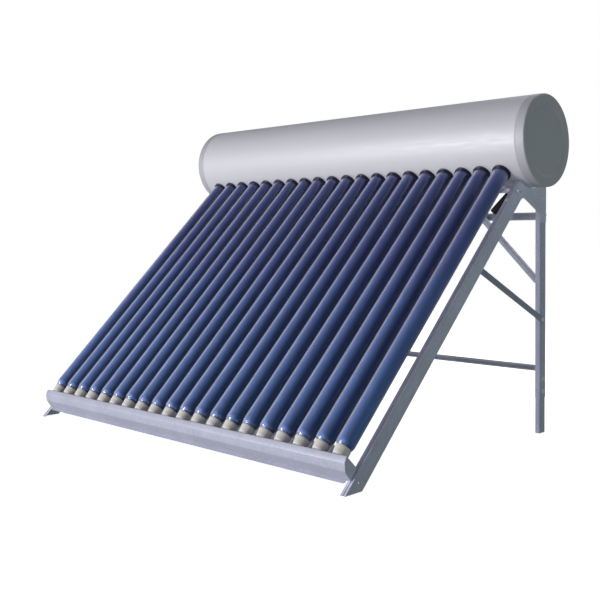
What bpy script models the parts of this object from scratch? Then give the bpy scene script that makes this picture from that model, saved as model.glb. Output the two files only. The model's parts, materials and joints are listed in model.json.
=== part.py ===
"""Solar water heater: a horizontal insulated tank over a row of evacuated glass tubes, on a sloping steel stand.

Metres, +Z up, +X along the tank. The origin is on the ground, under the middle of the object.
Two local frames are used: the slope frame (x, s, n) starts at the line of the front feet, with s up the slope
and n square to it, and each tube has its own axis along s through the tank's axis.
Each tube slides up its own axis into the tank, which is how it is fitted and taken out.
"""

import math

import bmesh
import bpy
from mathutils import Vector

# Tubes
TUBE_COUNT = 20
TUBE_PITCH = 0.085
TUBE_RADIUS = 0.0315
TUBE_WALL = 0.003  # the two thin glass walls as one
TUBE_LENGTH = 1.5
TUBE_SIDES = 12
TUBE_TIP = 0.1195  # slope position of the closed tip

# Tank
TANK_RADIUS = 0.179
TANK_LENGTH = 1.862
TANK_HEIGHT = 1.145  # of the tank's axis above the ground
TANK_WALL = 0.001
TANK_SIDES = 32
CAP_RIM = 0.0387
CAP_LAP = 0.010
CAP_WALL = 0.0012
CAP_DISH = 0.006
INNER_RADIUS = 0.1275
INNER_WALL = 0.0012
INNER_HALF = 0.845
INNER_SIDES = 24
DOME_DEPTH = 0.030
DOME_STEPS = 2
FOAM_END = 0.0085
HOLE_RADIUS = 0.0335  # in the tank's outer skin
SEAL_HOLE_RADIUS = 0.0390  # in the foam and the inner tank

# Stand
SLOPE = math.radians(44.15)
FOOT_REACH = 1.109  # from the tank's axis forward to the front feet
SIDE_X = 0.866  # outer face of the legs
SHEET = 0.0015
FRONT_WEB = 0.056
FRONT_FLANGE = 0.0215
FRONT_LEG_LENGTH = 1.418
REAR_Y = 0.0626  # front face of the rear legs, behind the tank's axis
REAR_WEB = 0.0440
REAR_FLANGE = 0.020
REAR_LEG_LOW = 0.1395
REAR_LEG_TOP = 0.970
REAR_FOOT_TOP = 0.235
BRACKET_PLATE = 0.002
UPPER_BAR_TOP = 0.872
UPPER_BAR_HEIGHT = 0.030
LOWER_BAR_TOP = 0.2665
LOWER_BAR_HEIGHT = 0.021
BAR_DEPTH = 0.022
KNEE_WIDTH = 0.028
SIDE_BRACE_WIDTH = 0.025

# Water connections
SOCKET_X = 0.768
SOCKET_RADIUS = 0.0105
SOCKET_REACH = 0.014  # below the tank
HOSE_RADIUS = 0.0145

# Bottom rail and what stands in it
RAIL_HALF = 0.8545
RAIL_LIP_HALF = 0.8405
RAIL_WALL = 0.0012
RAIL_BACK_HALF = 0.8000
RAIL_BACK_TOP = 0.1600  # slope position
CUP_MOUTH = 0.1310  # slope position
CUP_BASE = 0.1003
CUP_FOOT = 0.0808

GAP = 0.0004  # between touching pieces

AXIS_Y = (FOOT_REACH - TANK_RADIUS) / 2
FOOT_Y = AXIS_Y - FOOT_REACH
AXIS_S = FOOT_REACH * math.cos(SLOPE) + TANK_HEIGHT * math.sin(SLOPE)
AXIS_N = TANK_HEIGHT * math.cos(SLOPE) - FOOT_REACH * math.sin(SLOPE)
ALONG_TUBE = (SLOPE - math.pi / 2, 0, 0)
SIDES = (("left", -1), ("right", 1))


def clear_scene():
    for old in list(bpy.data.objects):
        bpy.data.objects.remove(old, do_unlink=True)


def material(name, color, roughness, metallic):
    made = bpy.data.materials.new(name)
    made.use_nodes = True
    shader = made.node_tree.nodes["Principled BSDF"]
    shader.inputs["Base Color"].default_value = (*color, 1)
    shader.inputs["Roughness"].default_value = roughness
    shader.inputs["Metallic"].default_value = metallic
    return made


def tube_x(index):
    return (index - (TUBE_COUNT - 1) / 2) * TUBE_PITCH


def slope_point(x, s, n):
    """A point of the slope frame in world coordinates."""
    y = FOOT_Y + s * math.cos(SLOPE) - n * math.sin(SLOPE)
    return Vector((x, y, s * math.sin(SLOPE) + n * math.cos(SLOPE)))


def add_object(name, mesh, look, location=(0, 0, 0), rotation=(0, 0, 0), smooth=False):
    made = bpy.data.objects.new(name, mesh)
    bpy.context.scene.collection.objects.link(made)
    made.location = location
    made.rotation_euler = rotation
    if not mesh.materials:
        mesh.materials.append(look)
    if smooth:
        mesh.shade_smooth()
        mesh.set_sharp_from_angle(angle=math.radians(40))
    return made


def add_guide(name, mesh, **place):
    """A shape that only cuts or joins others."""
    made = add_object(name, mesh, None, **place)
    made.hide_render = True
    made.display_type = "WIRE"
    return made


def add_boolean(target, other, operation):
    step = target.modifiers.new(operation.lower(), "BOOLEAN")
    step.operation = operation
    step.object = other
    step.solver = "EXACT"


def mesh_of(name, bm):
    mesh = bpy.data.meshes.new(name)
    bm.to_mesh(mesh)
    bm.free()
    return mesh


def turn(bm, profile, sides, place=Vector):
    """Turns (radius, height) points about Z. The profile climbs on its outer side, and goes down inside a hole.
    It is closed unless it starts and ends on the axis."""
    rings = []
    for radius, height in profile:
        if radius == 0:
            rings.append([bm.verts.new(place((0, 0, height)))] * sides)
            continue
        ring = []
        for step in range(sides):
            angle = 2 * math.pi * step / sides
            ring.append(bm.verts.new(place((radius * math.cos(angle), radius * math.sin(angle), height))))
        rings.append(ring)
    pairs = list(zip(rings, rings[1:]))
    if profile[0][0] > 0:
        pairs.append((rings[-1], rings[0]))
    for low, high in pairs:
        for step in range(sides):
            after = (step + 1) % sides
            corners = (low[step], low[after], high[after], high[step])
            bm.faces.new(dict.fromkeys(corners))


def turned(name, profile, sides):
    bm = bmesh.new()
    turn(bm, profile, sides)
    return mesh_of(name, bm)


def extrude(bm, outline, low, high, place):
    """A prism: place(a, b, c) puts an outline point (a, b) at c, from low(a, b) to high."""
    first = [bm.verts.new(place(a, b, low(a, b))) for a, b in outline]
    last = [bm.verts.new(place(a, b, high)) for a, b in outline]
    faces = [bm.faces.new(first), bm.faces.new(last)]
    for index in range(len(outline)):
        after = (index + 1) % len(outline)
        faces.append(bm.faces.new((first[index], first[after], last[after], last[index])))
    bmesh.ops.recalc_face_normals(bm, faces=faces)


def extruded(name, outline, low, high, place):
    bm = bmesh.new()
    extrude(bm, outline, lambda a, b: low, high, place)
    return mesh_of(name, bm)


def across(y, z, x):
    """Places an outline of (y, z), measured from the tank's axis line on the ground, at x."""
    return Vector((x, AXIS_Y + y, z))


def sheet_outline(path, wall):
    """The section of a bent sheet: the path, then back along its left side at the wall's distance."""
    points = [Vector(point) for point in path]
    normals = []
    for start, end in zip(points, points[1:]):
        step = (end - start).normalized()
        normals.append(Vector((-step.y, step.x)))
    offset = []
    for index, point in enumerate(points):
        before = normals[max(index - 1, 0)]
        after = normals[min(index, len(normals) - 1)]
        offset.append(point + (before + after) * wall / (1 + before.dot(after)))
    return [tuple(point) for point in points + offset[::-1]]


def box(bm, low, high):
    outline = [(low[0], low[1]), (high[0], low[1]), (high[0], high[1]), (low[0], high[1])]
    extrude(bm, outline, lambda a, b: low[2], high[2], lambda a, b, c: Vector((a, b, c)))


def tube_hole_cutter(name, radius, low, high):
    """Rods along every tube's axis, from low to high above the tank's axis, to cut the tank's layers."""
    bm = bmesh.new()
    profile = [(0, low), (radius, low), (radius, high), (0, high)]
    for index in range(TUBE_COUNT):
        shift = tube_x(index)
        turn(bm, profile, TUBE_SIDES, lambda point: Vector((point[0] + shift, point[1], point[2])))
    middle = slope_point(0, AXIS_S, AXIS_N)
    turned_round = (SLOPE + math.pi / 2, 0, 0)
    return add_guide(name, mesh_of(name, bm), location=middle, rotation=turned_round)


def ring_row(name, look, profile, strip_half, strip_low, strip_high, strip_reach):
    """A ring round every tube, joined into one piece by a thin strip from ring to ring.
    Heights are measured down the slope from the tank's axis."""
    rings = bmesh.new()
    bars = bmesh.new()
    for index in range(TUBE_COUNT):
        shift = tube_x(index)
        turn(rings, profile, TUBE_SIDES, lambda point: Vector((point[0] + shift, point[1], point[2])))
        if index:
            low = (tube_x(index - 1) + strip_reach, -strip_half, strip_low)
            high = (shift - strip_reach, strip_half, strip_high)
            box(bars, low, high)
    place = {
        "location": slope_point(0, AXIS_S, AXIS_N),
        "rotation": (SLOPE + math.pi / 2, 0, 0),
    }
    made = add_object(name, mesh_of(name, rings), look, smooth=True, **place)
    joiner = add_guide(name + "_strip", mesh_of(name + "_strip", bars), **place)
    add_boolean(made, joiner, "UNION")
    return made


# Tank -----------------------------------------------------------------------


def dome(radius, half, depth, sign):
    """A profile from the axis to the wall (or back) over a domed end at sign * half."""
    points = []
    for step in range(DOME_STEPS + 1):
        angle = math.pi / 2 * step / DOME_STEPS
        points.append((radius * math.sin(angle), sign * (half + depth * math.cos(angle))))
    points[0] = (0, sign * (half + depth))
    return points


def vessel(radius, half, depth):
    """The closed profile of a domed vessel, climbing its outer side."""
    return dome(radius, half, depth, -1) + dome(radius, half, depth, 1)[::-1]


def build_tank():
    steel = material("painted_steel", (0.62, 0.62, 0.68), 0.35, 0.3)
    stainless = material("stainless_steel", (0.6, 0.6, 0.6), 0.3, 1)
    foam = material("foam", (0.85, 0.78, 0.5), 0.9, 0)
    along_x = (0, math.pi / 2, 0)
    middle = (0, AXIS_Y, TANK_HEIGHT)
    half = TANK_LENGTH / 2
    skin_cutter = tube_hole_cutter("skin_cutter", HOLE_RADIUS, INNER_RADIUS + 0.03, TANK_RADIUS + 0.03)
    seal_cutter = tube_hole_cutter("seal_cutter", SEAL_HOLE_RADIUS, 0.06, TANK_RADIUS + 0.03)

    shell_half = half - CAP_RIM - GAP
    inside = TANK_RADIUS - TANK_WALL
    profile = [(TANK_RADIUS, -shell_half), (TANK_RADIUS, shell_half), (inside, shell_half), (inside, -shell_half)]
    shell = add_object(
        "tank_shell", turned("tank_shell", profile, TANK_SIDES), steel, middle, along_x, smooth=True
    )
    add_boolean(shell, skin_cutter, "DIFFERENCE")

    foam_radius = inside - GAP
    cap_radius = inside - GAP - CAP_WALL - GAP
    foam_half = half - CAP_RIM - CAP_LAP - GAP
    ends = half - FOAM_END
    outer = [(0, -ends), (cap_radius, -ends), (cap_radius, -foam_half), (foam_radius, -foam_half)]
    outer += [(foam_radius, foam_half), (cap_radius, foam_half), (cap_radius, ends), (0, ends)]
    bm = bmesh.new()
    turn(bm, outer, TANK_SIDES)
    turn(bm, vessel(INNER_RADIUS + GAP, INNER_HALF, DOME_DEPTH + GAP)[::-1], INNER_SIDES)
    foam_piece = add_object("foam_insulation", mesh_of("foam_insulation", bm), foam, middle, along_x)
    add_boolean(foam_piece, seal_cutter, "DIFFERENCE")

    bm = bmesh.new()
    turn(bm, vessel(INNER_RADIUS, INNER_HALF, DOME_DEPTH), INNER_SIDES)
    turn(bm, vessel(INNER_RADIUS - INNER_WALL, INNER_HALF, DOME_DEPTH - INNER_WALL)[::-1], INNER_SIDES)
    inner = add_object("inner_tank", mesh_of("inner_tank", bm), stainless, middle, along_x, smooth=True)
    add_boolean(inner, seal_cutter, "DIFFERENCE")

    lap = TANK_RADIUS - TANK_WALL - GAP
    step_out, step_in = 0.79 * TANK_RADIUS, 0.74 * TANK_RADIUS
    inner_face = -CAP_DISH - CAP_WALL
    cap_profile = [
        (0, inner_face),
        (lap - CAP_WALL, inner_face),
        (lap - CAP_WALL, -CAP_RIM - CAP_LAP),
        (lap, -CAP_RIM - CAP_LAP),
        (lap, -CAP_RIM),
        (TANK_RADIUS, -CAP_RIM),
        (TANK_RADIUS, -0.005),
        (TANK_RADIUS - 0.005, 0),
        (step_out, 0),
        (step_in, -CAP_DISH),
        (0, -CAP_DISH),
    ]
    for side, sign in SIDES:
        add_object(
            "tank_cap_" + side,
            turned("tank_cap_" + side, cap_profile, TANK_SIDES),
            steel,
            (sign * half, AXIS_Y, TANK_HEIGHT),
            (0, sign * math.pi / 2, 0),
            smooth=True,
        )


# Tubes ----------------------------------------------------------------------


def build_tubes():
    glass = material("coated_glass", (0.03, 0.05, 0.16), 0.08, 0)
    rubber = material("black_rubber", (0.01, 0.01, 0.015), 0.35, 0)
    silicone = material("white_silicone", (0.75, 0.74, 0.7), 0.5, 0)
    bore = TUBE_RADIUS - TUBE_WALL
    shoulder = math.sin(math.pi / 4)
    profile = [
        (0, 0),
        (TUBE_RADIUS * shoulder, TUBE_RADIUS * (1 - shoulder)),
        (TUBE_RADIUS, TUBE_RADIUS),
        (TUBE_RADIUS, TUBE_LENGTH),
        (bore, TUBE_LENGTH),
        (bore, TUBE_RADIUS),
        (0, TUBE_WALL),
    ]
    mesh = turned("tube", profile, TUBE_SIDES)
    for index in range(TUBE_COUNT):
        tip = slope_point(tube_x(index), TUBE_TIP, AXIS_N)
        add_object(f"tube_{index + 1:02d}", mesh, glass, tip, ALONG_TUBE, smooth=True)

    hole = TUBE_RADIUS + 0.0016
    base = TANK_RADIUS + GAP
    ring = [(0.0372, base), (0.0352, base + 0.013), (hole, base + 0.013), (hole, base)]
    ring_row("dust_rings", rubber, ring, 0.004, base + 0.0006, base + 0.0036, 0.0355)

    wall_in = INNER_RADIUS - 0.013
    seal = [(0.0368, wall_in), (0.0368, INNER_RADIUS + 0.012), (hole, INNER_RADIUS + 0.012), (hole, wall_in)]
    ring_row("tube_seals", silicone, seal, 0.003, wall_in, wall_in + 0.005, 0.0350)


def build_cups():
    """The cup that each tube's tip rests in, joined by a strip inside the rail."""
    plastic = material("cream_plastic", (0.7, 0.66, 0.58), 0.5, 0)
    seat = 0.0250
    floor_reach = TUBE_TIP - GAP - 0.001
    cup = [
        (0, CUP_FOOT),
        (0.0122, CUP_FOOT),
        (0.0122, CUP_BASE),
        (0.0225, CUP_BASE),
        (0.0265, CUP_MOUTH),
        (seat, CUP_MOUTH),
        (seat * 0.62, floor_reach + 0.0028),
        (0, floor_reach),
    ]
    cups = bmesh.new()
    for index in range(TUBE_COUNT):
        shift = tube_x(index)
        turn(cups, cup, TUBE_SIDES, lambda point: Vector((point[0] + shift, point[1], point[2])))
    reach = tube_x(TUBE_COUNT - 1)
    strip = bmesh.new()
    box(strip, (-reach, -0.0055, CUP_FOOT + 0.002), (reach, 0.0055, CUP_FOOT + 0.010))
    place = {"location": slope_point(0, 0, AXIS_N), "rotation": ALONG_TUBE}
    made = add_object("tube_cups", mesh_of("tube_cups", cups), plastic, smooth=True, **place)
    joiner = add_guide("tube_cups_strip", mesh_of("tube_cups_strip", strip), **place)
    add_boolean(made, joiner, "UNION")


# Stand ----------------------------------------------------------------------


def build_rail(steel):
    """The folded rail across the front legs: a lip, three bands, the cup face, a return and a back."""
    top = (0.0963, 0.0694)
    base_n = GAP
    face_foot = (0.0990, base_n)
    bands = [(0.0523, base_n), (0.0583, 0.0400), (0.0756, 0.0622), top]
    back = [face_foot, (0.0870, base_n)]
    place = {"location": (0, FOOT_Y, 0), "rotation": (SLOPE, 0, 0)}

    def in_slope(s, n, x):
        return Vector((x, s, n))

    half = RAIL_HALF - RAIL_WALL - GAP
    section = sheet_outline(bands + back, -RAIL_WALL)
    rail = add_object("bottom_rail", extruded("bottom_rail", section, -half, half, in_slope), steel, **place)
    lip_section = sheet_outline([(0.0400, base_n), (0.0531, base_n)], RAIL_WALL)
    lip_mesh = extruded("rail_lip", lip_section, -RAIL_LIP_HALF, RAIL_LIP_HALF, in_slope)
    add_boolean(rail, add_guide("rail_lip", lip_mesh, **place), "UNION")
    back_section = sheet_outline([(0.0982, base_n), (RAIL_BACK_TOP, base_n)], RAIL_WALL)
    back_mesh = extruded("rail_back", back_section, -RAIL_BACK_HALF, RAIL_BACK_HALF, in_slope)
    add_boolean(rail, add_guide("rail_back", back_mesh, **place), "UNION")
    holes = bmesh.new()
    profile = [(0, CUP_BASE - 0.012), (0.0131, CUP_BASE - 0.012), (0.0131, CUP_BASE + 0.01), (0, CUP_BASE + 0.01)]
    for index in range(TUBE_COUNT):
        shift = tube_x(index)
        turn(holes, profile, TUBE_SIDES, lambda point: Vector((point[0] + shift, point[1], point[2])))
    cutter = add_guide(
        "cup_holes", mesh_of("cup_holes", holes), location=slope_point(0, 0, AXIS_N), rotation=ALONG_TUBE
    )
    add_boolean(rail, cutter, "DIFFERENCE")
    for side, sign in SIDES:
        low, high = sign * (RAIL_HALF - RAIL_WALL), sign * RAIL_HALF
        plate = extruded("rail_end_" + side, bands + [face_foot], low, high, in_slope)
        add_object("rail_end_" + side, plate, steel, **place)


def build_legs(steel):
    for side, sign in SIDES:
        flange_in = SIDE_X - FRONT_FLANGE
        section = sheet_outline([(flange_in, 0), (SIDE_X, 0), (SIDE_X, -FRONT_WEB)], -SHEET)
        bm = bmesh.new()
        extrude(
            bm,
            section,
            lambda x, n: -n / math.tan(SLOPE),
            FRONT_LEG_LENGTH,
            lambda x, n, s: Vector((sign * x, s, n)),
        )
        name = "front_leg_" + side
        add_object(name, mesh_of(name, bm), steel, (0, FOOT_Y, 0), (SLOPE, 0, 0))

        back = REAR_Y + REAR_WEB
        section = sheet_outline([(SIDE_X - REAR_FLANGE, REAR_Y), (SIDE_X, REAR_Y), (SIDE_X, back)], SHEET)
        name = "rear_leg_" + side
        leg = extruded(name, section, REAR_LEG_LOW, REAR_LEG_TOP, lambda x, y, z: across(y, z, sign * x))
        add_object(name, leg, steel)

        nest = SHEET + GAP
        path = [(SIDE_X - REAR_FLANGE, REAR_Y + nest), (SIDE_X - nest, REAR_Y + nest), (SIDE_X - nest, back)]
        name = "rear_foot_" + side
        foot = extruded(
            name, sheet_outline(path, SHEET), 0, REAR_FOOT_TOP, lambda x, y, z: across(y, z, sign * x)
        )
        add_object(name, foot, steel)


def build_brackets(steel):
    """The plate under each end of the tank, outside the two legs: an arc above and a notch below."""
    radius = TANK_RADIUS + 0.0012
    rear = REAR_Y + REAR_WEB
    front_n = -0.0030
    reach = math.sqrt(radius**2 - (AXIS_N - front_n) ** 2)

    def beside_axis(s, n):
        world = slope_point(0, s, n)
        return (world.y - AXIS_Y, world.z)

    front = beside_axis(AXIS_S - reach, front_n)
    start, end = math.asin(front[0] / radius), math.asin(rear / radius)
    steps = 14
    outline = []
    for step in range(steps + 1):
        angle = start + (end - start) * step / steps
        outline.append((radius * math.sin(angle), TANK_HEIGHT - radius * math.cos(angle)))
    outline += [(rear, 0.8313), (REAR_Y + 0.002, 0.8313), (REAR_Y + 0.002, 0.8665), (0.0365, 0.8745)]
    outline += [(-0.0680, 0.9246), (-0.0963, 0.9140), (-0.1217, 0.9454)]
    for side, sign in SIDES:
        inner = SIDE_X + GAP
        name = "tank_bracket_" + side
        plate = extruded(name, outline, sign * inner, sign * (inner + BRACKET_PLATE), across)
        add_object(name, plate, steel)


def channel(front, depth, top, height):
    """A C section open to the front, as (y, z)."""
    back = front + depth
    path = [(front, top), (back, top), (back, top - height), (front, top - height)]
    return sheet_outline(path, -SHEET)


def build_bars(steel):
    reach = SIDE_X - SHEET - GAP
    behind_knee = REAR_Y + 2 * (SHEET + GAP)
    upper = channel(behind_knee, BAR_DEPTH, UPPER_BAR_TOP, UPPER_BAR_HEIGHT)
    lower = channel(behind_knee, BAR_DEPTH, LOWER_BAR_TOP, LOWER_BAR_HEIGHT)
    front = channel(-0.104, 0.018, 0.969, 0.025)
    add_object("rear_upper_bar", extruded("rear_upper_bar", upper, -reach, reach, across), steel)
    add_object("rear_lower_bar", extruded("rear_lower_bar", lower, -reach, reach, across), steel)
    add_object("front_cross_bar", extruded("front_cross_bar", front, -reach, reach, across), steel)


def strip_between(name, start, end, width, sideways, steel):
    """A flat strip from start to end, its width in the plane square to sideways."""
    start, end = Vector(start), Vector(end)
    along = (end - start).normalized()
    wide = along.cross(Vector(sideways)).normalized() * width / 2
    thick = along.cross(wide).normalized() * SHEET / 2
    length = (end - start).length
    outline = [(-1, -1), (1, -1), (1, 1), (-1, 1)]
    mesh = extruded(name, outline, 0, length, lambda a, b, c: along * c + wide * a + thick * b)
    add_object(name, mesh, steel, start)


def build_braces(steel):
    knee_y = AXIS_Y + REAR_Y + SHEET + GAP + SHEET / 2
    for side, sign in SIDES:
        low, high = (0.852, 0.602), (0.598, 0.858)
        strip_between(
            "knee_brace_" + side,
            (sign * low[0], knee_y, low[1]),
            (sign * high[0], knee_y, high[1]),
            KNEE_WIDTH,
            (0, 1, 0),
            steel,
        )
        front_x = SIDE_X - SHEET - GAP - SHEET / 2 - 0.0003
        rear_x = SIDE_X + GAP + SHEET / 2 + 0.0003
        strip_between(
            "side_brace_" + side,
            (sign * front_x, AXIS_Y - 0.3789, 0.6633),
            (sign * rear_x, AXIS_Y + 0.0880, 0.4440),
            SIDE_BRACE_WIDTH,
            (1, 0, 0),
            steel,
        )


def hose(path, radius, bore, sides):
    """A round tube along a path in the XZ plane, its bends mitred."""
    points = [Vector(point) for point in path]
    steps = [(end - start).normalized() for start, end in zip(points, points[1:])]
    level = Vector((0, 1, 0))
    bm = bmesh.new()
    sections = []
    for index, point in enumerate(points):
        after = steps[min(index, len(steps) - 1)]
        tangent = (steps[max(index - 1, 0)] + after).normalized()
        wide = level.cross(tangent) / tangent.dot(after)
        section = []
        for reach in (radius, bore):
            ring = []
            for step in range(sides):
                angle = 2 * math.pi * step / sides
                offset = wide * math.cos(angle) + level * math.sin(angle)
                ring.append(bm.verts.new(point + offset * reach))
            section.append(ring)
        sections.append(section)
    pairs = [(sections[0][0], sections[0][1]), (sections[-1][0], sections[-1][1])]
    for low, high in zip(sections, sections[1:]):
        pairs += [(low[0], high[0]), (low[1], high[1])]
    for low, high in pairs:
        for step in range(sides):
            after = (step + 1) % sides
            bm.faces.new((low[step], low[after], high[after], high[step]))
    bmesh.ops.recalc_face_normals(bm, faces=bm.faces)
    return bm


def build_ports():
    """A threaded socket near each end of the tank's underside, with the bent hose that is pushed on it."""
    steel = material("socket_steel", (0.55, 0.55, 0.57), 0.35, 1)
    rubber = material("hose_rubber", (0.02, 0.02, 0.02), 0.8, 0)
    bottom = TANK_HEIGHT - TANK_RADIUS - SOCKET_REACH
    top = TANK_HEIGHT - INNER_RADIUS - 0.0030
    bore = SOCKET_RADIUS - 0.0025
    profile = [(SOCKET_RADIUS, bottom), (SOCKET_RADIUS, top), (bore, top), (bore, bottom)]
    hole = SOCKET_RADIUS + GAP
    hole_profile = [(0, bottom), (hole, bottom), (hole, top + GAP), (0, top + GAP)]
    for side, sign in SIDES:
        name = "water_socket_" + side
        place = (sign * SOCKET_X, AXIS_Y, 0)
        add_object(name, turned(name, profile, TUBE_SIDES), steel, place, smooth=True)
        cutter = add_guide(name + "_hole", turned(name + "_hole", hole_profile, TUBE_SIDES), location=place)
        for layer in ("tank_shell", "foam_insulation"):
            add_boolean(bpy.data.objects[layer], cutter, "DIFFERENCE")
        start = TANK_HEIGHT - TANK_RADIUS - 0.0008
        path = [(0, 0, start), (0, 0, start - 0.020), (-sign * 0.0735, 0, start - 0.090)]
        name = "water_hose_" + side
        mesh = mesh_of(name, hose(path, HOSE_RADIUS, SOCKET_RADIUS + GAP, TUBE_SIDES))
        add_object(name, mesh, rubber, place, smooth=True)


def build_stand():
    steel = material("frame_steel", (0.42, 0.43, 0.52), 0.45, 0.6)
    build_rail(steel)
    build_legs(steel)
    build_brackets(steel)
    build_bars(steel)
    build_braces(steel)


clear_scene()
build_tank()
build_tubes()
build_cups()
build_stand()
build_ports()
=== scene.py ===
"""Looks for the solar water heater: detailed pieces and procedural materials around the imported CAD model.

Metres, in the CAD frame. The slope frame (x, s, n) starts at the line of the front feet, with s up the slope
and n square to it. The tank's own frame has its Z along the world's X.
"""

import json
import math

import bmesh
import bpy
from mathutils import Matrix, Vector


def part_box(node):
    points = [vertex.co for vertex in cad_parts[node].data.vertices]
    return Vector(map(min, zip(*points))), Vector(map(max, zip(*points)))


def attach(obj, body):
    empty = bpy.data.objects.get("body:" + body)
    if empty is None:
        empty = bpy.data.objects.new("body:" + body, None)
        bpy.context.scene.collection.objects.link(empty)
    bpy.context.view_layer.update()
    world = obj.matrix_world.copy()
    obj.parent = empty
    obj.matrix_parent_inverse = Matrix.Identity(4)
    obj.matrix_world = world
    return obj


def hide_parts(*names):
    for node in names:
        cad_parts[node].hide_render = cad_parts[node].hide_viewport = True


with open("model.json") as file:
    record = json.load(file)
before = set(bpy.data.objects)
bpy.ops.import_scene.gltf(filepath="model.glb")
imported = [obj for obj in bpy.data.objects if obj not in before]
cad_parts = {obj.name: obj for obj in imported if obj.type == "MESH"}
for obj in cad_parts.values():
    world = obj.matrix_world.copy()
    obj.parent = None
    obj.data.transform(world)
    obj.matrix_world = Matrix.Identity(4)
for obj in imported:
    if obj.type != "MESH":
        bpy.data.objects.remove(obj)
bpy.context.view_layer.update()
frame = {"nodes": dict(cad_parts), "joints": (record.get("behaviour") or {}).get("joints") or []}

ROOT = "heater"
SIDES = (("left", -1), ("right", 1))
TUBES = [joint["child"] for joint in frame["joints"]]

# The frame, read from the CAD
ALONG = Vector(frame["joints"][0]["axis"]).normalized()
OUT = Vector((0, -ALONG.z, ALONG.y))
SLOPE = math.atan2(ALONG.z, ALONG.y)
SHELL_LOW, SHELL_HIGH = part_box("tank_shell")
TANK_RADIUS = (SHELL_HIGH.z - SHELL_LOW.z) / 2
TANK_MIDDLE = (SHELL_LOW + SHELL_HIGH) / 2
SHELL_HALF = SHELL_HIGH.x
TANK_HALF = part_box("tank_cap_right")[1].x
FOOT = Vector((0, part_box("front_leg_left")[0].y, 0))
SIDE_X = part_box("front_leg_right")[1].x
AXIS_S = (TANK_MIDDLE - FOOT).dot(ALONG)
AXIS_N = (TANK_MIDDLE - FOOT).dot(OUT)
TUBE_X = [(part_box(name)[0].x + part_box(name)[1].x) / 2 for name in TUBES]
REAR_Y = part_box("rear_leg_right")[0].y

# Sizes that follow the CAD
TUBE_RADIUS = 0.0315
TUBE_LENGTH = 1.5
TUBE_TIP = 0.1195
GLASS_WALL = 0.0012
ABSORBER_RADIUS = 0.0300
ABSORBER_WALL = 0.0016
TUBE_HOLE = 0.0335
SHEET = 0.0015
PLATE = 0.002
PLAY = 0.0004  # between sheet pieces
FRONT_LEG_TOP = 1.418
RAIL_WALL = 0.0012
RAIL_LIFT = PLAY
RAIL_HALF = 0.8545
RAIL_BEND = 0.0022
BACK_FOOT, BACK_TOP, BACK_HALF = 0.0992, 0.1600, 0.8
CUP_MOUTH = 0.1310
CUP_BASE = 0.1003
CUP_FOOT = 0.0808
HOSE_RADIUS, HOSE_BORE = 0.0145, 0.0109
HOSE_DROP, HOSE_FALL, HOSE_SWING = 0.020, 0.090, 0.0735

TANK_SIDES = 160
TUBE_SIDES = 48
EDGE_BEVEL = 0.0003


def slope_point(x, s, n):
    return FOOT + Vector((x, 0, 0)) + ALONG * s + OUT * n


def axes(x_axis, y_axis, z_axis, origin):
    turn = Matrix((x_axis, y_axis, z_axis)).transposed().to_4x4()
    return Matrix.Translation(origin) @ turn


RIGHT = Vector((1, 0, 0))
BACK = Vector((0, 1, 0))
UP = Vector((0, 0, 1))
TANK_FRAME = axes(-UP, BACK, RIGHT, TANK_MIDDLE)


def tube_frame(x, s=0.0):
    """Z up the slope along a tube's axis, from slope position s."""
    return axes(RIGHT, -OUT, ALONG, slope_point(x, s, AXIS_N))


# Mesh tools -------------------------------------------------------------------


def lathe(profile, sides, shape=None):
    """Turns (radius, height) points about Z. shape(radius, height, angle) may change a point."""
    bm = bmesh.new()
    rings = []
    for radius, height in profile:
        if radius == 0:
            rings.append([bm.verts.new((0, 0, height))] * sides)
            continue
        ring = []
        for step in range(sides):
            angle = 2 * math.pi * step / sides
            r, z = shape(radius, height, angle) if shape else (radius, height)
            ring.append(bm.verts.new((r * math.cos(angle), r * math.sin(angle), z)))
        rings.append(ring)
    for low, high in zip(rings, rings[1:]):
        for step in range(sides):
            after = (step + 1) % sides
            bm.faces.new(dict.fromkeys((low[step], low[after], high[after], high[step])))
    return bm


def closed(profile):
    return profile + profile[:1]


def quarter(steps):
    return [math.pi / 2 * step / steps for step in range(steps + 1)]


def arc(center, radius, start, end, steps):
    """Points on a circle in a profile plane, the angles in degrees."""
    points = []
    for step in range(steps + 1):
        angle = math.radians(start + (end - start) * step / steps)
        points.append((center[0] + radius * math.cos(angle), center[1] + radius * math.sin(angle)))
    return points


def rounded(path, radius, steps=4):
    """The path of 2-D points with its corners rounded."""
    points = [Vector(point) for point in path]
    made = [points[0]]
    for before, corner, after in zip(points, points[1:], points[2:]):
        back, ahead = (before - corner), (after - corner)
        reach = min(radius, back.length * 0.45, ahead.length * 0.45)
        start = corner + back.normalized() * reach
        end = corner + ahead.normalized() * reach
        for step in range(steps + 1):
            t = step / steps
            made.append(start * (1 - t) ** 2 + corner * 2 * t * (1 - t) + end * t * t)
    return made + [points[-1]]


def sheet_outline(path, wall):
    """The section of a bent sheet: the path, then back along its left side at the wall's distance."""
    points = [Vector(point) for point in path]
    normals = []
    for start, end in zip(points, points[1:]):
        step = (end - start).normalized()
        normals.append(Vector((-step.y, step.x)))
    offset = []
    for index, point in enumerate(points):
        before = normals[max(index - 1, 0)]
        after = normals[min(index, len(normals) - 1)]
        offset.append(point + (before + after) * wall / (1 + before.dot(after)))
    return points + offset[::-1]


def prism(outline, low, high, place):
    """The outline of (a, b) points from low to high, at place(a, b, c). low may be a function of (a, b)."""
    bm = bmesh.new()
    begin = low if callable(low) else (lambda a, b: low)
    first = [bm.verts.new(place(a, b, begin(a, b))) for a, b in outline]
    last = [bm.verts.new(place(a, b, high)) for a, b in outline]
    bm.faces.new(first)
    bm.faces.new(last)
    for index in range(len(outline)):
        after = (index + 1) % len(outline)
        bm.faces.new((first[index], first[after], last[after], last[index]))
    bmesh.ops.recalc_face_normals(bm, faces=bm.faces)
    return bm


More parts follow.
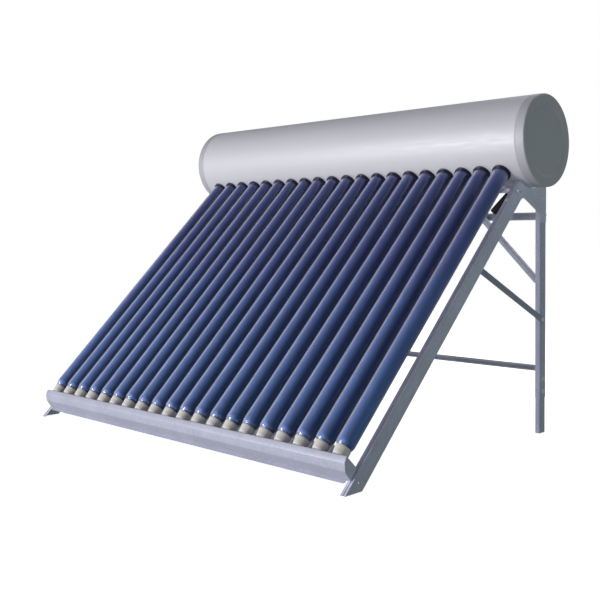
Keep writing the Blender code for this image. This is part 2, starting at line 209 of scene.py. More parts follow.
def join(meshes):
    """One mesh from (bmesh, matrix) pairs."""
    whole = bmesh.new()
    for bm, matrix in meshes:
        part = bpy.data.meshes.new("part")
        bm.to_mesh(part)
        part.transform(matrix)
        whole.from_mesh(part)
        bpy.data.meshes.remove(part)
    return whole


def mesh_from(name, bm, look, smooth=35):
    """A shaded mesh with one material, with edges over smooth degrees left sharp."""
    mesh = bpy.data.meshes.new(name)
    bm.to_mesh(mesh)
    bm.free()
    mesh.materials.append(look)
    mesh.shade_smooth()
    mesh.set_sharp_from_angle(angle=math.radians(smooth))
    return mesh


def piece(name, mesh, body=ROOT, stands_for=(), matrix=None, bevel=0.0):
    """A visible piece that rides on a body, in the place of the CAD nodes it stands for."""
    made = bpy.data.objects.new(name, mesh)
    bpy.context.scene.collection.objects.link(made)
    if matrix is not None:
        made.matrix_world = matrix
    if bevel:
        edge = made.modifiers.new("edge", "BEVEL")
        edge.width = bevel
        edge.segments = 2
        edge.limit_method = "ANGLE"
        edge.angle_limit = math.radians(40)
        edge.harden_normals = True
    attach(made, body)
    if stands_for:
        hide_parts(*stands_for)
    return made


def cutter(name, bm, matrix):
    """A hidden object that only cuts others."""
    mesh = bpy.data.meshes.new(name)
    bm.to_mesh(mesh)
    bm.free()
    made = bpy.data.objects.new(name, mesh)
    bpy.context.scene.collection.objects.link(made)
    made.matrix_world = matrix
    made.hide_render = True
    made.hide_viewport = True
    return made


def cut(target, tool):
    step = target.modifiers.new("cut", "BOOLEAN")
    step.operation = "DIFFERENCE"
    step.object = tool
    step.solver = "EXACT"


def rods(radius, low, high, sides=32):
    """A solid rod on the axis of each tube, between two slope positions."""
    profile = [(0, low), (radius, low), (radius, high), (0, high)]
    return join([(lathe(profile, sides), tube_frame(x)) for x in TUBE_X])


# Materials --------------------------------------------------------------------


def set_stops(ramp, stops):
    """Colours at positions, as (position, (r, g, b))."""
    while len(ramp.elements) < len(stops):
        ramp.elements.new(1)
    for element, (position, color) in zip(ramp.elements, stops):
        element.position = position
        element.color = (*color, 1)


class Look:
    """A material with its node tree, and short ways to add the nodes used here."""

    def __init__(self, name, roughness=0.5, metallic=0.0, **sockets):
        self.material = bpy.data.materials.new(name)
        self.material.use_nodes = True
        self.tree = self.material.node_tree
        self.shader = self.tree.nodes["Principled BSDF"]
        self.shader.inputs["Roughness"].default_value = roughness
        self.shader.inputs["Metallic"].default_value = metallic
        for socket, value in sockets.items():
            self.shader.inputs[socket.replace("_", " ")].default_value = value
        self.coordinates = self.tree.nodes.new("ShaderNodeTexCoord").outputs["Object"]

    def node(self, kind, **settings):
        made = self.tree.nodes.new("ShaderNode" + kind)
        for name, value in settings.items():
            setattr(made, name, value)
        return made

    def link(self, source, target):
        self.tree.links.new(source, target)

    def scaled(self, stretch):
        made = self.node("Mapping")
        made.inputs["Scale"].default_value = stretch
        self.link(self.coordinates, made.inputs["Vector"])
        return made.outputs["Vector"]

    def noise(self, scale, detail=4.0, roughness=0.5, stretch=(1, 1, 1)):
        made = self.node("TexNoise")
        made.inputs["Scale"].default_value = scale
        made.inputs["Detail"].default_value = detail
        made.inputs["Roughness"].default_value = roughness
        self.link(self.scaled(stretch), made.inputs["Vector"])
        return made.outputs["Fac"]

    def ramp(self, value, *stops):
        made = self.node("ValToRGB")
        set_stops(made.color_ramp, stops)
        self.link(value, made.inputs["Fac"])
        return made.outputs["Color"]

    def spread(self, value, low, high, start=0.3, end=0.7):
        """The value's range from start to end, mapped to low to high."""
        made = self.node("MapRange")
        made.inputs["From Min"].default_value = start
        made.inputs["From Max"].default_value = end
        made.inputs["To Min"].default_value = low
        made.inputs["To Max"].default_value = high
        self.link(value, made.inputs["Value"])
        return made.outputs["Result"]

    def color(self, output):
        self.link(output, self.shader.inputs["Base Color"])

    def rough(self, output):
        self.link(output, self.shader.inputs["Roughness"])

    def bump(self, height, strength, distance):
        made = self.node("Bump")
        made.inputs["Strength"].default_value = strength
        made.inputs["Distance"].default_value = distance
        self.link(height, made.inputs["Height"])
        self.link(made.outputs["Normal"], self.shader.inputs["Normal"])


def shade(color, factor):
    return tuple(channel * factor for channel in color)


def coated_steel(name, color, roughness, metallic, spread=0.06, grain=(1, 1, 1), **sockets):
    """Paint or zinc over sheet steel: cloudy tone, fine orange peel and slightly uneven gloss."""
    look = Look(name, metallic=metallic, **sockets)
    cloud = look.noise(7, 3, stretch=grain)
    look.color(look.ramp(cloud, (0.3, shade(color, 1 - spread)), (0.7, shade(color, 1 + spread))))
    look.rough(look.spread(look.noise(90, 4, stretch=grain), roughness - 0.05, roughness + 0.07))
    look.bump(look.noise(900, 2, stretch=grain), 0.12, 0.0002)
    return look.material


def galvanised_steel(name, color, roughness):
    """Zinc coat with faint spangles."""
    look = Look(name, metallic=0.3)
    spangle = look.node("TexVoronoi")
    spangle.inputs["Scale"].default_value = 130
    look.link(look.coordinates, spangle.inputs["Vector"])
    tone = look.node("Mix", data_type="FLOAT")
    tone.inputs["Factor"].default_value = 0.3
    look.link(look.noise(11, 4), tone.inputs["A"])
    look.link(spangle.outputs["Color"], tone.inputs["B"])
    look.color(look.ramp(tone.outputs["Result"], (0.3, shade(color, 0.9)), (0.7, shade(color, 1.08))))
    look.rough(look.spread(look.noise(160, 5), roughness - 0.06, roughness + 0.1))
    look.bump(look.noise(1200, 2), 0.1, 0.0002)
    return look.material


def absorber_coating():
    """Blue coating on the inner tube: steel blue low down, indigo near the tank, and a painted lilac sheen
    where the surface turns away from the view.
    """
    look = Look("absorber_coating", metallic=0.25, Specular_IOR_Level=0.35)
    place = look.node("SeparateXYZ")
    look.link(look.coordinates, place.inputs["Vector"])
    height = look.spread(place.outputs["Z"], 0.12, 0.88, 0.0, TUBE_LENGTH)
    streaks = look.spread(look.noise(9, 3, stretch=(1, 1, 0.25)), -0.12, 0.12)
    tone = look.node("Math", operation="ADD")
    look.link(height, tone.inputs[0])
    look.link(streaks, tone.inputs[1])
    low, middle, high = (0.074, 0.158, 0.385), (0.077, 0.102, 0.290), (0.067, 0.078, 0.215)
    body = look.ramp(tone.outputs["Value"], (0.0, low), (0.5, middle), (1.0, high))
    # Painted reflection: the facing weight mixes a pale lilac into the coating towards the edges the view
    # grazes, a painted sheen.
    edge = look.node("LayerWeight")
    edge.inputs["Blend"].default_value = 0.5
    painted_edge_sheen = look.node("Mix", data_type="RGBA")
    look.link(look.spread(edge.outputs["Facing"], 0.0, 0.8, 0.38, 0.92), painted_edge_sheen.inputs["Factor"])
    look.link(body, painted_edge_sheen.inputs[6])
    painted_edge_sheen.inputs[7].default_value = (0.26, 0.23, 0.35, 1)  # 6 and 7 are the node's colours A and B
    look.color(painted_edge_sheen.outputs[2])
    look.rough(look.spread(look.noise(12, 2, stretch=(1, 1, 0.2)), 0.36, 0.46))
    return look.material


def clear_glass():
    """Smooth clear glass with the slightest green tint."""
    look = Look("clear_glass", roughness=0.0, IOR=1.47, Transmission_Weight=1.0)
    look.color(look.ramp(look.noise(3, 2), (0.3, (0.93, 0.975, 0.96)), (0.7, (0.95, 0.985, 0.97))))
    return look.material


def rubber(name, color, roughness, grain, depth, **sockets):
    """A soft material with a mottled tone and a fine grain of the given depth."""
    look = Look(name, **sockets)
    look.color(look.ramp(look.noise(40, 4), (0.3, shade(color, 0.8)), (0.7, shade(color, 1.25))))
    look.rough(look.spread(look.noise(120, 3), roughness - 0.06, roughness + 0.08))
    look.bump(look.noise(grain, 3), 0.3, depth)
    return look.material


def moulded_plastic(name, color, roughness):
    """Plastic with slight tone changes and a faint mould texture."""
    look = Look(name, Specular_IOR_Level=0.4)
    look.color(look.ramp(look.noise(18, 4), (0.3, shade(color, 0.93)), (0.7, shade(color, 1.05))))
    look.rough(look.spread(look.noise(80, 3), roughness - 0.08, roughness + 0.08))
    look.bump(look.noise(1500, 2), 0.15, 0.0002)
    return look.material


def bare_metal(name, color, roughness, grain=(1, 1, 1)):
    """Uncoated metal with a fine grain, stretched where it is brushed."""
    look = Look(name, metallic=1.0)
    look.color(look.ramp(look.noise(50, 4, stretch=grain), (0.3, shade(color, 0.85)), (0.7, color)))
    look.rough(look.spread(look.noise(200, 4, stretch=grain), roughness - 0.07, roughness + 0.1))
    look.bump(look.noise(600, 3, stretch=grain), 0.2, 0.0001)
    return look.material


TANK_PAINT = coated_steel("tank_paint", (0.60, 0.595, 0.63), 0.5, 0.15, spread=0.02, grain=(1, 1, 0.15))
CAP_PAINT = coated_steel("cap_paint", (0.44, 0.445, 0.47), 0.55, 0.2, spread=0.02)
# One galvanised steel in copies of different brightness: painted light on the front legs, rail plates and
# brackets, painted shade on the rear legs, knee strips, bars, side strips and rail.
LIT_FRAME_ZINC = galvanised_steel("frame_zinc_painted_light", (0.69, 0.71, 0.84), 0.45)
SHADED_REAR_ZINC = galvanised_steel("rear_zinc_painted_shade", (0.50, 0.52, 0.64), 0.5)
SHADED_STRIP_ZINC = galvanised_steel("strip_zinc_painted_shade", (0.50, 0.52, 0.62), 0.5)
SHADED_BAR_ZINC = galvanised_steel("bar_zinc_painted_shade", (0.36, 0.38, 0.46), 0.5)
SHADED_RAIL_ZINC = galvanised_steel("rail_zinc_painted_shade", (0.43, 0.44, 0.53), 0.5)
ABSORBER = absorber_coating()
GLASS = clear_glass()
RING_RUBBER = rubber(
    "ring_rubber",
    (0.005, 0.002, 0.020),
    0.2,
    900,
    0.00003,
    Specular_Tint=(0.7, 0.6, 1.0, 1.0),
    Coat_Weight=0.5,
    Coat_Roughness=0.12,
)
HOSE_RUBBER = rubber("hose_foam", (0.018, 0.018, 0.019), 0.8, 420, 0.0008)
SEAL_RUBBER = rubber("seal_silicone", (0.7, 0.69, 0.66), 0.5, 900, 0.0001)
CUP_PLASTIC = moulded_plastic("cup_plastic", (0.72, 0.69, 0.645), 0.42)
FOAM = rubber("foam", (0.8, 0.7, 0.4), 0.85, 300, 0.002)
STAINLESS = bare_metal("stainless", (0.6, 0.6, 0.61), 0.3, (1, 1, 8))
SOCKET_STEEL = bare_metal("socket_steel", (0.55, 0.55, 0.56), 0.32)
BOLT_ZINC = galvanised_steel("bolt_zinc", (0.80, 0.82, 0.90), 0.36)


# Tank -------------------------------------------------------------------------


def build_tank():
    """The barrel with its row of tube holes, the two caps, and looks for the CAD solids inside."""
    wall = 0.001
    half = SHELL_HALF
    rolled_in = TANK_RADIUS - 0.00044
    outer = [(rolled_in, -half)]
    outer += [(TANK_RADIUS, z) for z in (-half + 0.0015, -half + 0.006, half - 0.006, half - 0.0015)]
    outer += [(rolled_in, half)]
    inner = [(TANK_RADIUS - wall, half), (TANK_RADIUS - wall, -half)]
    shell = piece(
        "shell",
        mesh_from("shell", lathe(closed(outer + inner), TANK_SIDES), TANK_PAINT),
        stands_for=("tank_shell",),
        matrix=TANK_FRAME,
    )
    wall_s = AXIS_S - TANK_RADIUS
    holes = rods(TUBE_HOLE, wall_s - 0.03, wall_s + 0.03)
    cut(shell, cutter("shell_holes", holes, Matrix.Identity(4)))
    for side, sign in SIDES:
        mesh = mesh_from("cap_" + side, lathe(cap_profile(), TANK_SIDES), CAP_PAINT, smooth=60)
        matrix = TANK_FRAME @ Matrix.Translation((0, 0, sign * TANK_HALF))
        if sign < 0:
            matrix = matrix @ Matrix.Rotation(math.pi, 4, "X")
        piece("cap_" + side, mesh, stands_for=("tank_cap_" + side,), matrix=matrix)
    for node, look in (("foam_insulation", FOAM), ("inner_tank", STAINLESS), ("tube_seals", SEAL_RUBBER)):
        repaint(node, look)


def repaint(node, look):
    """A new material for a CAD solid that is kept as it is."""
    materials = frame["nodes"][node].data.materials
    materials.clear()
    materials.append(look)


def cap_profile():
    """From the spigot inside the shell, over the rim and its rounded edge, into the dished face."""
    rim = TANK_HALF - SHELL_HALF - PLAY
    edge = 0.007
    spigot = TANK_RADIUS - 0.0014
    dish, crown = 0.006, 0.0015
    step_out, step_in = 0.80 * TANK_RADIUS, 0.755 * TANK_RADIUS
    flat = step_in - 0.03
    profile = [(spigot - 0.0012, -rim - 0.010), (spigot, -rim - 0.010), (spigot, -rim - 0.0002)]
    profile += [(TANK_RADIUS - 0.0006, -rim), (TANK_RADIUS, -rim + 0.0008), (TANK_RADIUS, -rim + 0.004)]
    profile += arc((TANK_RADIUS - edge, -edge), edge, 0, 90, 8)
    profile += rounded([(step_out + 0.012, 0), (step_out, 0), (step_in, -dish), (flat, -dish)], 0.005, 5)
    rings = 8
    for step in range(1, rings + 1):
        radius = flat * (1 - step / rings)
        profile.append((radius, -dish + crown * (1 - (radius / flat) ** 2)))
    return profile


# Tubes and what holds them ------------------------------------------------------


def glass_profile(radius, tip, top, wall):
    """An open tube with a domed lower end, outer side first and then back down its bore."""
    outer = [(radius * math.sin(a), tip + radius * (1 - math.cos(a))) for a in quarter(8)]
    bore = radius - wall
    inner = [(bore * math.sin(a), tip + wall + bore * (1 - math.cos(a))) for a in quarter(8)]
    outer[0] = (0, tip)
    inner[0] = (0, tip + wall)
    return outer + [(radius, top), (bore, top)] + inner[::-1]


def build_tubes():
    """The clear outer glass and the coated inner tube of each vacuum tube, moving with its body."""
    clear = glass_profile(TUBE_RADIUS, 0, TUBE_LENGTH, GLASS_WALL)
    glass = mesh_from("outer_glass", lathe(clear, TUBE_SIDES), GLASS)
    coated = glass_profile(ABSORBER_RADIUS, 0.0065, TUBE_LENGTH - 0.004, ABSORBER_WALL)
    absorber = mesh_from("absorber", lathe(coated, TUBE_SIDES), ABSORBER)
    for name, x in zip(TUBES, TUBE_X):
        place = tube_frame(x, TUBE_TIP)
        outer = piece(name + "_glass", glass, body=name, stands_for=(name,), matrix=place)
        outer.visible_shadow = False
        outer.visible_glossy = False
        inner = piece(name + "_absorber", absorber, body=name, matrix=place)
        inner.visible_glossy = False


def build_rings():
    """A glossy rubber ring with two ridges where each tube enters the tank, fitted to the tank's curve."""
    start = TANK_RADIUS + 0.0006
    hole = TUBE_RADIUS + 0.0009
    ridge, lip = 0.0017, 0.0006
    bore = [(hole, start + 0.0125), (hole, start)]
    outer = [(0.0363, start), (0.0372, start + 0.0006)]
    outer += arc((0.0358, start + 0.0030), ridge, -20, 80, 5)
    outer += [(0.0346, start + 0.0048)]
    outer += arc((0.0344, start + 0.0072), ridge, -60, 90, 6)
    outer += [(0.0336, start + 0.0092), (0.0335, start + 0.0115)]
    outer += arc((0.0330, start + 0.0120), lip, 0, 90, 3)

    def fit(radius, height, angle):
        """Points on the base drop to the tank's surface, which curves away across the slope only."""
        if height > start + 0.0009:
            return radius, height
        across = radius * math.sin(angle)
        return radius, height - TANK_RADIUS + math.sqrt(TANK_RADIUS**2 - across**2)

    mesh = mesh_from("dust_ring", lathe(closed(outer + bore), 64, fit), RING_RUBBER, smooth=50)
    for index, x in enumerate(TUBE_X):
        down = axes(RIGHT, OUT, -ALONG, slope_point(x, AXIS_S, AXIS_N))
        stands_for = () if index else ("dust_rings",)
        piece(f"dust_ring_{index + 1:02d}", mesh, stands_for=stands_for, matrix=down)


def build_cups():
    """Ribbed plastic cups for the tube tips, each with a neck through the rail."""
    seat, neck = 0.0245, 0.0122
    ribs, rib_height = 20, 0.0003
    bowl_steps = 6
    profile = [(0, CUP_FOOT), (neck - 0.001, CUP_FOOT), (neck, CUP_FOOT + 0.001), (neck, CUP_BASE)]
    profile += [(0.0215, CUP_BASE), (0.0225, CUP_BASE + 0.001), (0.0236, CUP_BASE + 0.008)]
    profile += [(0.0252, CUP_MOUTH - 0.008), (0.0262, CUP_MOUTH - 0.0052), (0.0262, CUP_MOUTH - 0.0006)]
    profile += [(0.0257, CUP_MOUTH), (seat + 0.0003, CUP_MOUTH), (seat, CUP_MOUTH - 0.0008)]
    bowl = TUBE_TIP + TUBE_RADIUS
    reach = TUBE_RADIUS + 0.0006
    for step in range(bowl_steps + 1):
        radius = seat * (1 - step / bowl_steps)
        profile.append((radius, bowl - math.sqrt(reach**2 - radius**2)))

    def ribbed(radius, height, angle):
        on_side = CUP_BASE + 0.0015 < height < CUP_MOUTH - 0.006 and radius > seat - 0.002
        return (radius + rib_height * math.cos(ribs * angle), height) if on_side else (radius, height)

    mesh = mesh_from("cup", lathe(profile, 120, ribbed), CUP_PLASTIC, smooth=50)
    for index, x in enumerate(TUBE_X):
        stands_for = () if index else ("tube_cups",)
        piece(f"cup_{index + 1:02d}", mesh, stands_for=stands_for, matrix=tube_frame(x))


# Stand --------------------------------------------------------------------------


def in_slope(a, b, c):
    """A section point (s, n) at x."""
    return slope_point(c, a, b)


def build_rail():
    """The bent rail under the tube tips: bands, cup face and return, with its lip and end plates, and a back
    sheet set behind the cups as painted shade between them.
    """
    base = RAIL_LIFT
    bands = [(0.0523, base), (0.0583, 0.0400), (0.0756, 0.0622), (0.0963, 0.0694)]
    face_foot = (0.0990, base)
    half = RAIL_HALF - RAIL_WALL - RAIL_LIFT
    path = rounded(bands + [face_foot, (0.0870, base)], RAIL_BEND, 3)
    rail_mesh = mesh_from("rail", prism(sheet_outline(path, -RAIL_WALL), -half, half, in_slope), SHADED_RAIL_ZINC)
    rail = piece("rail", rail_mesh, stands_for=("bottom_rail",))
    neck_hole = 0.0128
    holes = rods(neck_hole, CUP_BASE - 0.012, CUP_BASE + 0.01, 24)
    cut(rail, cutter("rail_holes", holes, Matrix.Identity(4)))
    build_lip(base)
    top = base + RAIL_WALL
    # The back strip is a sheet put behind the cups, where there is only shade, to darken the gaps between
    # them: painted shade.
    strip = [(BACK_FOOT, base), (BACK_TOP, base), (BACK_TOP, top), (BACK_FOOT, top)]
    bm = prism(strip, -BACK_HALF, BACK_HALF, in_slope)
    piece("rail_back", mesh_from("rail_back", bm, SHADED_RAIL_ZINC), bevel=EDGE_BEVEL)
    outline = rounded(bands + [face_foot], RAIL_BEND, 3)
    for side, sign in SIDES:
        name = "rail_plate_" + side
        bm = prism(outline, sign * (RAIL_HALF - RAIL_WALL), sign * RAIL_HALF, in_slope)
        piece(name, mesh_from(name, bm, LIT_FRAME_ZINC), stands_for=("rail_end_" + side,))


def build_lip(base):
    """The flat lip at the rail's foot, with rounded ends."""
    half, front, back, corner = 0.8405, 0.0400, 0.0543, 0.009
    outline = [(back, -half + 0.001), (back, half - 0.001)]
    outline += arc((front + corner, half - corner), corner, 90, 180, 6)
    outline += arc((front + corner, -half + corner), corner, 180, 270, 6)
    bm = prism(outline, base, base + RAIL_WALL, lambda s, x, n: slope_point(x, s, n))
    piece("rail_lip", mesh_from("rail_lip", bm, SHADED_RAIL_ZINC), bevel=EDGE_BEVEL)


def build_front_legs():
    """Angle section: a flange under the rail, a groove and a bead along the corner, and a deep web."""
    flange, web = 0.0215, 0.056
    groove, bead = 0.0028, 0.0016
    hole_radius, hole_reach = 0.0024, 0.01
    path = [(SIDE_X - flange, 0), (SIDE_X - 0.0115, 0)]
    path += [(SIDE_X - 0.0095, -groove), (SIDE_X - 0.0072, -groove)]
    path += [(SIDE_X - 0.0052, 0), (SIDE_X, 0), (SIDE_X, -0.0062)]
    path += [(SIDE_X - bead, -0.0078), (SIDE_X - bead, -0.0096), (SIDE_X, -0.0112), (SIDE_X, -web)]
    section = sheet_outline(rounded(path, 0.0012, 3), -SHEET)
    for side, sign in SIDES:
        bm = prism(
            section,
            lambda x, n: -n / math.tan(SLOPE),
            FRONT_LEG_TOP,
            lambda x, n, s: slope_point(sign * x, s, n),
        )
        name = "front_leg_" + side
        leg = piece(name + "_rolled", mesh_from(name, bm, LIT_FRAME_ZINC), stands_for=(name,))
        profile = [(0, -hole_reach), (hole_radius, -hole_reach), (hole_radius, hole_reach), (0, hole_reach)]
        hole = lathe(profile, 24)
        spot = slope_point(sign * SIDE_X, 0.066, -0.024)
        sideways = Matrix.Rotation(math.pi / 2, 4, "Y")
        cut(leg, cutter(name + "_hole", hole, Matrix.Translation(spot) @ sideways))


def upright(name, node, path, low, high, sign):
    """A standing angle section in the place of a CAD node."""
    section = sheet_outline(rounded(path, 0.0018, 3), SHEET)
    bm = prism(section, low, high, lambda x, y, z: Vector((sign * x, y, z)))
    piece(name, mesh_from(name, bm, SHADED_REAR_ZINC), stands_for=(node,))


def build_rear_legs():
    """An angle section on each side, with a short one nested in its lower end as the foot."""
    inner = SIDE_X - 0.020
    nest = SHEET + PLAY
    for side, sign in SIDES:
        low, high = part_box("rear_leg_" + side)
        path = [(inner, REAR_Y), (SIDE_X, REAR_Y), (SIDE_X, high.y)]
        upright("rear_post_" + side, "rear_leg_" + side, path, low.z, high.z, sign)
        path = [(inner, REAR_Y + nest), (SIDE_X - nest, REAR_Y + nest), (SIDE_X - nest, high.y)]
        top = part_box("rear_foot_" + side)[1].z
        upright("rear_shoe_" + side, "rear_foot_" + side, path, 0, top, sign)


def build_brackets():
    """The plate under each end of the tank, hollowed to the tank's curve and notched below."""
    radius = TANK_RADIUS + 0.0012
    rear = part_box("rear_leg_right")[1].y - TANK_MIDDLE.y
    leg = REAR_Y + 0.002 - TANK_MIDDLE.y
    front_n = -0.0030
    reach = math.sqrt(radius**2 - (AXIS_N - front_n) ** 2)

    def beside_axis(s, n):
        world = slope_point(0, s, n)
        return (world.y - TANK_MIDDLE.y, world.z)

    front = beside_axis(AXIS_S - reach, front_n)
    start, end = math.asin(front[0] / radius), math.asin(rear / radius)
    steps = 40
    outline = []
    for step in range(steps + 1):
        angle = start + (end - start) * step / steps
        outline.append((radius * math.sin(angle), TANK_MIDDLE.z - radius * math.cos(angle)))
    tail = [(rear, 0.8313), (leg, 0.8313), (leg, 0.8665), (0.0365, 0.8745)]
    tail += [(-0.0680, 0.9246), (-0.0963, 0.9140), (-0.1217, 0.9454)]
    outline += [tuple(point) for point in rounded(tail, 0.004, 3)]

    def place(y, z, x):
        return Vector((x, TANK_MIDDLE.y + y, z))

    for side, sign in SIDES:
        inner = sign * (SIDE_X + PLAY)
        bm = prism(outline, inner, inner + sign * PLATE, place)
        name = "tank_bracket_" + side
        mesh = mesh_from(name + "_plate", bm, LIT_FRAME_ZINC)
        piece(name + "_plate", mesh, stands_for=(name,), bevel=0.0005)


def channel(name, node, lips_in):
    """A C section open to the front, along X, in the place of a CAD bar."""
    low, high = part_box(node)
    path = [(low.y, high.z - lips_in), (low.y, high.z), (high.y, high.z), (high.y, low.z), (low.y, low.z)]
    path += [(low.y, low.z + lips_in)]
    section = sheet_outline(rounded(path, 0.0025, 3), -SHEET)
    bm = prism(section, low.x, high.x, lambda y, z, x: Vector((x, y, z)))
    piece(name, mesh_from(name, bm, SHADED_BAR_ZINC), stands_for=(node,))


def build_bars():
    channel("upper_bar", "rear_upper_bar", 0.006)
    channel("lower_bar", "rear_lower_bar", 0.005)
    channel("front_bar", "front_cross_bar", 0.005)


def ribbed_strip(name, start, end, width, facing, node, rib, look):
    """A flat strip with a pressed rib along its middle, in the place of a CAD brace."""
    along = (end - start).normalized()
    wide = facing.cross(along).normalized()
    thick = wide.cross(along).normalized()
    length = (end - start).length
    half = width / 2
    path = [(-half, 0), (-rib * 1.6, 0), (-rib, rib * 0.6), (rib, rib * 0.6), (rib * 1.6, 0), (half, 0)]
    section = sheet_outline(rounded(path, 0.002, 3), SHEET)

    def place(a, b, c):
        return wide * a + thick * b + along * c

    bm = prism([(a, b - SHEET / 2) for a, b in section], 0, length, place)
    mesh = mesh_from(name, bm, look)
    piece(name, mesh, stands_for=(node,), matrix=Matrix.Translation(start))


def build_braces():
    """The knee strips from the rear legs to the upper bar, and the side strips between the legs."""
    knee_y = REAR_Y + SHEET + PLAY + SHEET / 2
    knee_width, side_width, knee_rib = 0.028, 0.025, 0.003
    for side, sign in SIDES:
        start = Vector((sign * 0.852, knee_y, 0.602))
        end = Vector((sign * 0.598, knee_y, 0.858))
        node = "knee_brace_" + side
        ribbed_strip("knee_strip_" + side, start, end, knee_width, BACK * sign, node, knee_rib, SHADED_STRIP_ZINC)
        start = Vector((sign * (SIDE_X - 0.00295), TANK_MIDDLE.y - 0.3789, 0.6633))
        end = Vector((sign * (SIDE_X + 0.00145), TANK_MIDDLE.y + 0.0880, 0.4440))
        node = "side_brace_" + side
        ribbed_strip("side_strip_" + side, start, end, side_width, RIGHT, node, 0.0, SHADED_BAR_ZINC)


def bolt_mesh():
    """A hexagon head on a washer, its axis along Z."""
    washer = lathe([(0, 0), (0.0082, 0), (0.0088, 0.0004), (0.0086, 0.0012), (0, 0.0012)], 32)
    head = lathe([(0.0066, 0.0010), (0.0072, 0.0015), (0.0072, 0.0046), (0.0062, 0.0056), (0, 0.0056)], 6)
    whole = join([(washer, Matrix.Identity(4)), (head, Matrix.Identity(4))])
    return mesh_from("bolt", whole, BOLT_ZINC, smooth=30)


def build_bolts():
    """Bolts on the brackets, the rear feet, the side strips and the front legs' flanges."""
    mesh = bolt_mesh()
    outside = SIDE_X + PLAY + PLATE + 0.0001
    twist_step = 0.7
    spots = []
    for sign in (-1, 1):
        out = RIGHT * sign
        for s, n in ((1.375, -0.012), (1.390, -0.038)):
            point = slope_point(0, s, n)
            spots.append((Vector((sign * outside, point.y, point.z)), out))
        for y, z in ((0.082, 0.930), (0.094, 0.862)):
            spots.append((Vector((sign * outside, TANK_MIDDLE.y + y, z)), out))
        for z in (0.165, 0.215):
            spots.append((Vector((sign * (SIDE_X + 0.0001), REAR_Y + 0.024, z)), out))
        spots.append((Vector((sign * (SIDE_X + 0.0023), TANK_MIDDLE.y + 0.078, 0.4485)), out))
        spots.append((slope_point(sign * 0.8555, 1.31, 0.0001), OUT))
    for index, (spot, out) in enumerate(spots):
        turn = out.to_track_quat("Z", "Y").to_matrix().to_4x4()
        twist = Matrix.Rotation(index * twist_step, 4, "Z")
        piece(f"bolt_{index + 1:02d}", mesh, matrix=Matrix.Translation(spot) @ turn @ twist)


# Water connections ----------------------------------------------------------------


def evenly(path, step):
    """Points at equal steps along a path."""
    points, left = [path[0]], step
    for start, end in zip(path, path[1:]):
        length = (end - start).length
        while left <= length:
            points.append(start.lerp(end, left / length))
            left += step
        left -= length
    return points


def bent_tube(path, radius, bore, sides, ripple, spacing):
    """A thick round tube along evenly spaced points, with rings pressed round its outside."""
    bm = bmesh.new()
    sections = []
    travelled = 0
    for index, point in enumerate(path):
        travelled += (point - path[max(index - 1, 0)]).length
        outside = radius - ripple * (0.5 - 0.5 * math.cos(2 * math.pi * travelled / spacing))
        tangent = (path[min(index + 1, len(path) - 1)] - path[max(index - 1, 0)]).normalized()
        wide = BACK.cross(tangent)
        section = []
        for reach in (outside, bore):
            ring = []
            for step in range(sides):
                angle = 2 * math.pi * step / sides
                ring.append(bm.verts.new(point + (wide * math.cos(angle) + BACK * math.sin(angle)) * reach))
            section.append(ring)
        sections.append(section)
    pairs = [(sections[0][0], sections[0][1]), (sections[-1][0], sections[-1][1])]
    for low, high in zip(sections, sections[1:]):
        pairs += [(low[0], high[0]), (low[1], high[1])]
    for low, high in pairs:
        for step in range(sides):
            after = (step + 1) % sides
            bm.faces.new((low[step], low[after], high[after], high[step]))
    bmesh.ops.recalc_face_normals(bm, faces=bm.faces)
    return bm


def build_ports():
    """The bent rubber hoses on the water sockets, each held by a clamp."""
    bend, point_step = 0.024, 0.0012
    clamp_in, clamp_out, clamp_half = 0.0147, 0.0154, 0.0045
    clamp = [(clamp_in, -clamp_half), (clamp_out, -clamp_half)]
    clamp += [(clamp_out, clamp_half), (clamp_in, clamp_half)]
    for side, sign in SIDES:
        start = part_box("water_hose_" + side)[1].z
        socket_low, socket_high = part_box("water_socket_" + side)
        x = (socket_low.x + socket_high.x) / 2
        corners = [(x, start), (x, start - HOSE_DROP), (x - sign * HOSE_SWING, start - HOSE_FALL)]
        path = [Vector((point[0], TANK_MIDDLE.y, point[1])) for point in rounded(corners, bend, 8)]
        bm = bent_tube(evenly(path, point_step), HOSE_RADIUS, HOSE_BORE, 40, ripple=0.0009, spacing=0.006)
        mesh = mesh_from("hose_" + side, bm, HOSE_RUBBER, smooth=50)
        piece("hose_" + side, mesh, stands_for=("water_hose_" + side,))
        repaint("water_socket_" + side, SOCKET_STEEL)
        spot = Matrix.Translation((x, TANK_MIDDLE.y, start - 0.0135))
        band = mesh_from("hose_clamp_" + side, lathe(closed(clamp), 48), STAINLESS)
        piece("hose_clamp_" + side, band, matrix=spot)


# Studio ---------------------------------------------------------------------------


def build_floor():
    """A wide pale disc just below the feet, bright of its own and left out of the bounced light."""
    drop = 0.0006
    look = Look("floor", roughness=0.9)
    look.color(look.ramp(look.noise(2, 2), (0.3, (0.93, 0.93, 0.93)), (0.7, (0.95, 0.95, 0.95))))
    look.shader.inputs["Emission Color"].default_value = (1, 1, 1, 1)
    look.shader.inputs["Emission Strength"].default_value = 0.86
    bm = lathe([(0, 0), (2, 0), (60, 0)], 64)
    bmesh.ops.recalc_face_normals(bm, faces=bm.faces)
    floor = bpy.data.objects.new("floor", mesh_from("floor", bm, look.material))
    floor.location.z = -drop
    bpy.context.scene.collection.objects.link(floor)
    floor.visible_glossy = False
    floor.visible_diffuse = False
    floor.visible_transmission = False


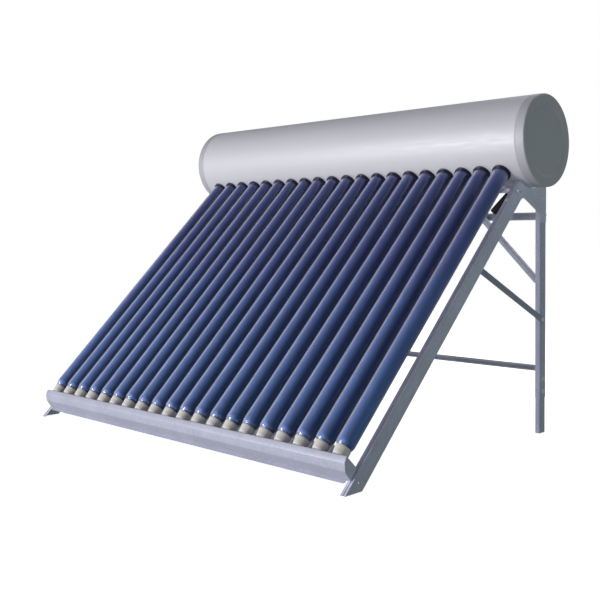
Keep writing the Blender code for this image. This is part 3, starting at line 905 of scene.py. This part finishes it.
def build_world():
    """White where the camera sees it, and a soft studio as light: pale in front and left, dim elsewhere."""
    world = bpy.data.worlds.new("studio")
    bpy.context.scene.world = world
    world.use_nodes = True
    tree = world.node_tree
    background = tree.nodes["Background"]
    direction = tree.nodes.new("ShaderNodeTexCoord").outputs["Generated"]
    lean = tree.nodes.new("ShaderNodeVectorMath")
    lean.operation = "DOT_PRODUCT"
    lean.inputs[1].default_value = (-0.62, -0.74, -0.26)
    tree.links.new(direction, lean.inputs[0])
    span = tree.nodes.new("ShaderNodeMapRange")
    span.inputs["From Min"].default_value = -1
    tree.links.new(lean.outputs["Value"], span.inputs["Value"])
    tones = tree.nodes.new("ShaderNodeValToRGB")
    stops = (
        (0.0, (0.020, 0.022, 0.03)),
        (0.25, (0.020, 0.024, 0.030)),
        (0.5, (0.085, 0.09, 0.115)),
        (0.7, (0.42, 0.42, 0.48)),
        (1.0, (0.85, 0.85, 0.88)),
    )
    set_stops(tones.color_ramp, stops)
    tree.links.new(span.outputs["Result"], tones.inputs["Fac"])
    tree.links.new(tones.outputs["Color"], background.inputs["Color"])
    background.inputs["Strength"].default_value = 1.0
    white = tree.nodes.new("ShaderNodeBackground")
    white.inputs["Color"].default_value = (1, 1, 1, 1)
    seen = tree.nodes.new("ShaderNodeLightPath").outputs["Is Camera Ray"]
    choose = tree.nodes.new("ShaderNodeMixShader")
    tree.links.new(seen, choose.inputs["Fac"])
    tree.links.new(background.outputs["Background"], choose.inputs[1])
    tree.links.new(white.outputs["Background"], choose.inputs[2])
    tree.links.new(choose.outputs["Shader"], tree.nodes["World Output"].inputs["Surface"])


def area_light(name, spot, target, size, power, color):
    data = bpy.data.lights.new(name, "AREA")
    data.shape = "RECTANGLE"
    data.size, data.size_y = size
    data.energy = power
    data.color = color
    light = bpy.data.objects.new(name, data)
    light.location = spot
    light.rotation_euler = (Vector(target) - Vector(spot)).to_track_quat("-Z", "Y").to_euler()
    light.visible_camera = False
    bpy.context.scene.collection.objects.link(light)
    return light


def build_lamps():
    """A large key lamp in front and to the left, a low fill at the right and a lamp behind."""
    area_light("key", (-3.0, -7.3, 1.5), (0, -0.35, 0.6), (2.1, 3.6), 440, (0.98, 0.98, 1.0))
    side_fill = area_light("side_fill", (4.5, 1.6, 0.65), (0, 0.2, 0.7), (2.5, 1.0), 50, (0.82, 0.98, 0.92))
    side_fill.visible_glossy = False
    area_light("back_fill", (0.4, 3.2, 3.6), (0, 0.4, 0.9), (2.5, 1.5), 60, (1.0, 0.99, 0.98))


def build_camera():
    """Almost level, in front and to the right, with its shift as the framing needs."""
    scene = bpy.context.scene
    scene.view_settings.view_transform = "Standard"
    scene.view_settings.look = "None"
    data = bpy.data.cameras.new("camera")
    data.sensor_width = 36
    data.lens = 52.884
    data.shift_y = -0.0846
    data.clip_end = 200
    camera = bpy.data.objects.new("camera", data)
    scene.collection.objects.link(camera)
    yaw, pitch, roll = 0.763, -0.0125, -0.001
    spot = Vector((2.5774, -2.6267, 0.771))
    ahead = Vector((-math.sin(yaw) * math.cos(pitch), math.cos(yaw) * math.cos(pitch), math.sin(pitch)))
    turn = ahead.to_track_quat("-Z", "Y").to_matrix().to_4x4()
    camera.matrix_world = Matrix.Translation(spot) @ turn @ Matrix.Rotation(roll, 4, "Z")
    scene.camera = camera


build_tank()
build_tubes()
build_rings()
build_cups()
build_rail()
build_front_legs()
build_rear_legs()
build_brackets()
build_bars()
build_braces()
build_bolts()
build_ports()
build_floor()
build_world()
build_lamps()
build_camera()
